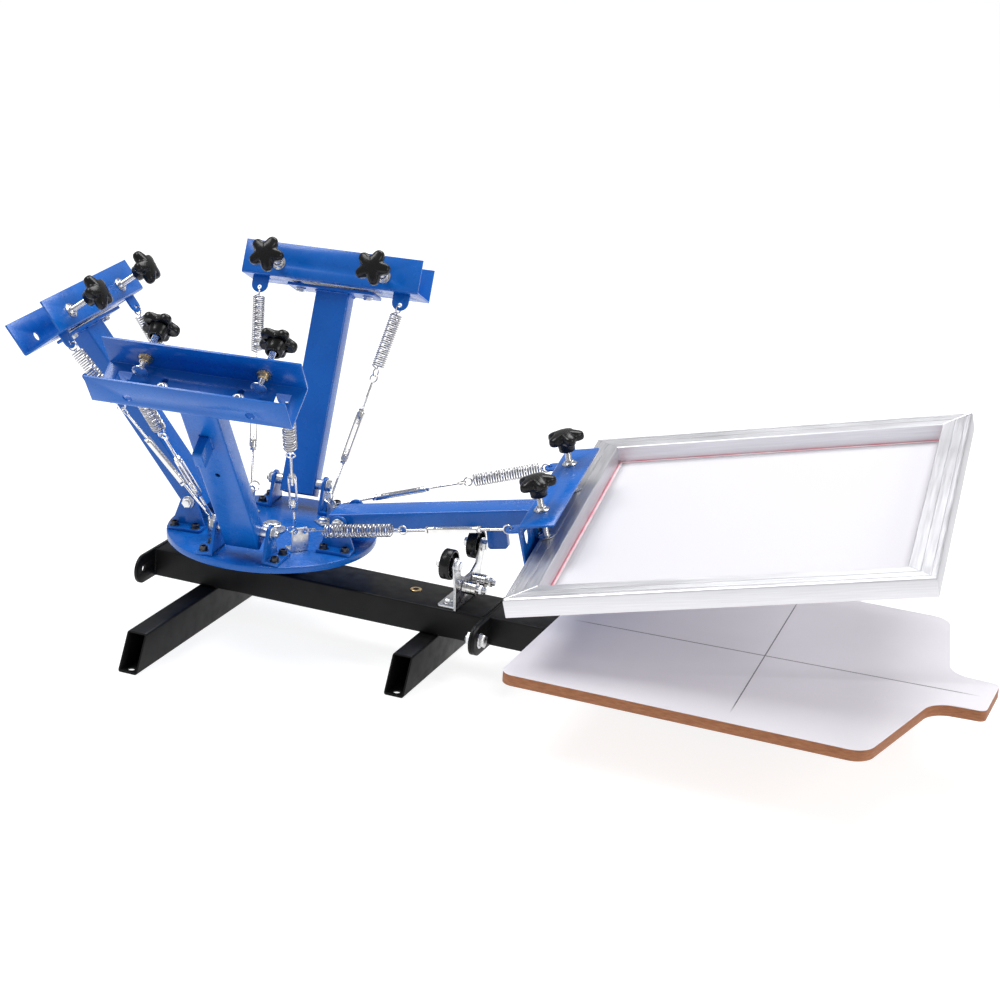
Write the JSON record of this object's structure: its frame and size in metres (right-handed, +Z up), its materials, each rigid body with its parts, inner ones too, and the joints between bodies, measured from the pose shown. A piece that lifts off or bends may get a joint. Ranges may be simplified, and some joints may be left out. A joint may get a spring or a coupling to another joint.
{
  "type": "screen printing carousel",
  "caption": "Tabletop carousel press with sprung arms on a turntable, a clamped mesh screen and a T-shirt platen.",
  "frame": {"origin": "centre of the rear foot's underside, below the beam's centre line", "axes": "+X from the turntable along the beam to the platen's tab, +Z up, +Y to the left of someone who faces +X"},
  "size_m": [1.2812, 0.6697, 0.4865],
  "materials": {
    "black_paint": "satin black powder coat",
    "blue_paint": "gloss blue powder coat",
    "zinc": "bright zinc plate",
    "chrome": "bright nickel plate",
    "black_plastic": "moulded black plastic",
    "laminate": "white laminate on board",
    "aluminium": "brushed",
    "mesh": "fine white woven mesh"
  },
  "bodies": {
    "base": {"base_beam": "black_paint", "foot_rear": "black_paint", "foot_front": "black_paint", "platen_arm": "black_paint", "platen_board": "laminate", "gate_bracket": "zinc", "spindle_housing": "black_paint", "king_bolt": "zinc"},
    "turntable": {"turntable_disc": "blue_paint", "pivot_bracket_1_near": "blue_paint", "pivot_bracket_1_far": "blue_paint", "pivot_bracket_2_near": "blue_paint", "pivot_bracket_2_far": "blue_paint", "pivot_bracket_3_near": "blue_paint", "pivot_bracket_3_far": "blue_paint", "pivot_bracket_4_near": "blue_paint", "pivot_bracket_4_far": "blue_paint", "spring_anchor_1": "zinc", "spring_anchor_2": "zinc", "spring_anchor_3": "zinc", "spring_anchor_4": "zinc"},
    "roller_near": {"gate_roller_near": "black_plastic"},
    "bearing_near": {"gate_bearing_near": "chrome"},
    "roller_far": {"gate_roller_far": "black_plastic"},
    "bearing_far": {"gate_bearing_far": "chrome"},
    "arm_1": {"arm_1_tube": "blue_paint", "arm_1_head": "blue_paint", "screen_frame": "aluminium", "screen_mesh": "mesh"},
    "clamp_1_near": {"arm_1_clamp_near": "black_plastic"},
    "buckle_1_near": {"arm_1_turnbuckle_near": "chrome"},
    "spring_1_near": {"arm_1_spring_near": "chrome"},
    "clamp_1_far": {"arm_1_clamp_far": "black_plastic"},
    "buckle_1_far": {"arm_1_turnbuckle_far": "chrome"},
    "spring_1_far": {"arm_1_spring_far": "chrome"},
    "arm_2": {"arm_2_tube": "blue_paint", "arm_2_head": "blue_paint"},
    "clamp_2_near": {"arm_2_clamp_near": "black_plastic"},
    "buckle_2_near": {"arm_2_turnbuckle_near": "chrome"},
    "spring_2_near": {"arm_2_spring_near": "chrome"},
    "clamp_2_far": {"arm_2_clamp_far": "black_plastic"},
    "buckle_2_far": {"arm_2_turnbuckle_far": "chrome"},
    "spring_2_far": {"arm_2_spring_far": "chrome"},
    "arm_3": {"arm_3_tube": "blue_paint", "arm_3_head": "blue_paint"},
    "clamp_3_near": {"arm_3_clamp_near": "black_plastic"},
    "buckle_3_near": {"arm_3_turnbuckle_near": "chrome"},
    "spring_3_near": {"arm_3_spring_near": "chrome"},
    "clamp_3_far": {"arm_3_clamp_far": "black_plastic"},
    "buckle_3_far": {"arm_3_turnbuckle_far": "chrome"},
    "spring_3_far": {"arm_3_spring_far": "chrome"},
    "arm_4": {"arm_4_tube": "blue_paint", "arm_4_head": "blue_paint"},
    "clamp_4_near": {"arm_4_clamp_near": "black_plastic"},
    "buckle_4_near": {"arm_4_turnbuckle_near": "chrome"},
    "spring_4_near": {"arm_4_spring_near": "chrome"},
    "clamp_4_far": {"arm_4_clamp_far": "black_plastic"},
    "buckle_4_far": {"arm_4_turnbuckle_far": "chrome"},
    "spring_4_far": {"arm_4_spring_far": "chrome"}
  },
  "joints": [
    {"name": "turntable_spin", "type": "hinge", "parent": "base", "child": "turntable", "pos_m": [0.074, 0, 0.1255], "axis": [0, 0, 1], "continuous": true},
    {"name": "roller_near_spin", "type": "hinge", "parent": "base", "child": "roller_near", "pos_m": [0.3437, -0.0437, 0.15], "axis": [1, 0, 0], "continuous": true},
    {"name": "bearing_near_spin", "type": "hinge", "parent": "base", "child": "bearing_near", "pos_m": [0.3638, -0.016, 0.1125], "axis": [1, 0, 0], "continuous": true},
    {"name": "roller_far_spin", "type": "hinge", "parent": "base", "child": "roller_far", "pos_m": [0.3437, 0.0437, 0.15], "axis": [1, 0, 0], "continuous": true},
    {"name": "bearing_far_spin", "type": "hinge", "parent": "base", "child": "bearing_far", "pos_m": [0.3638, 0.016, 0.1125], "axis": [1, 0, 0], "continuous": true},
    {"name": "arm_1_lift", "type": "hinge", "parent": "turntable", "child": "arm_1", "pos_m": [0.17597, 0.01138, 0.1648], "axis": [0.1109, -0.9938, 0], "range_deg": [-2.4, 55]},
    {"name": "clamp_1_near_travel", "type": "slide", "parent": "arm_1", "child": "clamp_1_near", "axis": [-0.2027, -0.1184, 0.9721], "range_m": [0, 0.0226]},
    {"name": "line_1_near_swing", "type": "hinge", "parent": "arm_1", "child": "buckle_1_near", "pos_m": [0.4311, -0.06209, 0.21913], "axis": [0.1001, -0.9925, 0.0707], "range_deg": [-7.11, 0.79]},
    {"name": "line_1_near_stretch", "type": "slide", "parent": "buckle_1_near", "child": "spring_1_near", "axis": [-0.9758, 0.0488, -0.2134], "range_m": [-0.01498, 0.00113], "deforming": ["arm_1_spring_near"]},
    {"name": "clamp_1_far_travel", "type": "slide", "parent": "arm_1", "child": "clamp_1_far", "axis": [-0.2027, -0.1184, 0.9721], "range_m": [0, 0.0226]},
    {"name": "line_1_far_swing", "type": "hinge", "parent": "turntable", "child": "buckle_1_far", "pos_m": [0.13238, 0.06216, 0.1565], "axis": [0.104, -0.9945, 0.0081], "range_deg": [-2.62, 49.12]},
    {"name": "line_1_far_stretch", "type": "slide", "parent": "buckle_1_far", "child": "spring_1_far", "axis": [0.9281, 0.2491, 0.2766], "range_m": [-0.01713, 0.00123], "deforming": ["arm_1_spring_far"]},
    {"name": "arm_2_lift", "type": "hinge", "parent": "turntable", "child": "arm_2", "pos_m": [0.06262, 0.10197, 0.1648], "axis": [0.9938, 0.1109, 0], "range_deg": [-57.15, 5]},
    {"name": "clamp_2_near_travel", "type": "slide", "parent": "arm_2", "child": "clamp_2_near", "axis": [0.1006, -0.9007, 0.4226], "range_m": [-0.0348, 0.0046]},
    {"name": "line_2_near_swing", "type": "hinge", "parent": "turntable", "child": "buckle_2_near", "pos_m": [0.12175, 0.07065, 0.1565], "axis": [0.9931, 0.1171, -0.008], "range_deg": [-50.88, 4.91]},
    {"name": "line_2_near_stretch", "type": "slide", "parent": "buckle_2_near", "child": "spring_2_near", "axis": [0.1093, 0.4665, 0.8778], "range_m": [-0.00186, 0.01604], "deforming": ["arm_2_spring_near"]},
    {"name": "clamp_2_far_travel", "type": "slide", "parent": "arm_2", "child": "clamp_2_far", "axis": [0.1006, -0.9007, 0.4226], "range_m": [-0.0348, 0.0046]},
    {"name": "line_2_far_swing", "type": "hinge", "parent": "turntable", "child": "buckle_2_far", "pos_m": [0.01184, 0.05838, 0.1565], "axis": [0.9945, 0.1048, 0.008], "range_deg": [-50.88, 4.91]},
    {"name": "line_2_far_stretch", "type": "slide", "parent": "buckle_2_far", "child": "spring_2_far", "axis": [-0.2095, 0.4309, 0.8778], "range_m": [-0.00186, 0.01604], "deforming": ["arm_2_spring_far"]},
    {"name": "arm_3_lift", "type": "hinge", "parent": "turntable", "child": "arm_3", "pos_m": [-0.02797, -0.01138, 0.1648], "axis": [-0.1109, 0.9938, 0], "range_deg": [-44.35, 8]},
    {"name": "clamp_3_near_travel", "type": "slide", "parent": "arm_3", "child": "clamp_3_near", "axis": [0.7853, 0.0877, 0.6129], "range_m": [-0.0273, 0.0121]},
    {"name": "line_3_near_swing", "type": "hinge", "parent": "turntable", "child": "buckle_3_near", "pos_m": [0.00335, 0.04775, 0.1565], "axis": [-0.115, 0.9933, -0.0066], "range_deg": [-39.35, 7.51]},
    {"name": "line_3_near_stretch", "type": "slide", "parent": "buckle_3_near", "child": "spring_3_near", "axis": [-0.6318, 0.0874, 0.7701], "range_m": [-0.00223, 0.01007], "deforming": ["arm_3_spring_near"]},
    {"name": "clamp_3_far_travel", "type": "slide", "parent": "arm_3", "child": "clamp_3_far", "axis": [0.7853, 0.0877, 0.6129], "range_m": [-0.0273, 0.0121]},
    {"name": "line_3_far_swing", "type": "hinge", "parent": "turntable", "child": "buckle_3_far", "pos_m": [0.01562, -0.06216, 0.1565], "axis": [-0.1069, 0.9943, 0.0066], "range_deg": [-39.35, 7.51]},
    {"name": "line_3_far_stretch", "type": "slide", "parent": "buckle_3_far", "child": "spring_3_far", "axis": [-0.597, -0.2246, 0.7701], "range_m": [-0.00223, 0.01007], "deforming": ["arm_3_spring_far"]},
    {"name": "arm_4_lift", "type": "hinge", "parent": "turntable", "child": "arm_4", "pos_m": [0.08538, -0.10197, 0.1648], "axis": [-0.9938, -0.1109, 0], "range_deg": [-46.85, 8]},
    {"name": "clamp_4_near_travel", "type": "slide", "parent": "arm_4", "child": "clamp_4_near", "axis": [-0.0905, 0.8111, 0.5779], "range_m": [-0.0283, 0.0111]},
    {"name": "line_4_near_swing", "type": "hinge", "parent": "turntable", "child": "buckle_4_near", "pos_m": [0.02625, -0.07065, 0.1565], "axis": [-0.9933, -0.1154, -0.0069], "range_deg": [-41.58, 7.52]},
    {"name": "line_4_near_stretch", "type": "slide", "parent": "buckle_4_near", "child": "spring_4_near", "axis": [-0.0914, -0.6015, 0.7936], "range_m": [-0.00232, 0.01114], "deforming": ["arm_4_spring_near"]},
    {"name": "clamp_4_far_travel", "type": "slide", "parent": "arm_4", "child": "clamp_4_far", "axis": [-0.0905, 0.8111, 0.5779], "range_m": [-0.0283, 0.0111]},
    {"name": "line_4_far_swing", "type": "hinge", "parent": "turntable", "child": "buckle_4_far", "pos_m": [0.13616, -0.05838, 0.1565], "axis": [-0.9943, -0.1065, 0.0069], "range_deg": [-41.58, 7.52]},
    {"name": "line_4_far_stretch", "type": "slide", "parent": "buckle_4_far", "child": "spring_4_far", "axis": [0.2218, -0.5665, 0.7936], "range_m": [-0.00232, 0.01114], "deforming": ["arm_4_spring_far"]}
  ],
  "couplings": [
    {"joint": "line_1_near_swing", "follows": "arm_1_lift", "ratio": -0.12016},
    {"joint": "line_1_near_stretch", "follows": "arm_1_lift", "m_per_rad": -0.015081},
    {"joint": "line_1_far_swing", "follows": "arm_1_lift", "ratio": 0.88394},
    {"joint": "line_1_far_stretch", "follows": "arm_1_lift", "m_per_rad": -0.017329},
    {"joint": "line_2_near_swing", "follows": "arm_2_lift", "ratio": 0.88162},
    {"joint": "line_2_near_stretch", "follows": "arm_2_lift", "m_per_rad": -0.015576},
    {"joint": "line_2_far_swing", "follows": "arm_2_lift", "ratio": 0.88162},
    {"joint": "line_2_far_stretch", "follows": "arm_2_lift", "m_per_rad": -0.015576},
    {"joint": "line_3_near_swing", "follows": "arm_3_lift", "ratio": 0.87588},
    {"joint": "line_3_near_stretch", "follows": "arm_3_lift", "m_per_rad": -0.012366},
    {"joint": "line_3_far_swing", "follows": "arm_3_lift", "ratio": 0.87588},
    {"joint": "line_3_far_stretch", "follows": "arm_3_lift", "m_per_rad": -0.012366},
    {"joint": "line_4_near_swing", "follows": "arm_4_lift", "ratio": 0.87688},
    {"joint": "line_4_near_stretch", "follows": "arm_4_lift", "m_per_rad": -0.013012},
    {"joint": "line_4_far_swing", "follows": "arm_4_lift", "ratio": 0.87688},
    {"joint": "line_4_far_stretch", "follows": "arm_4_lift", "m_per_rad": -0.013012}
  ]
}
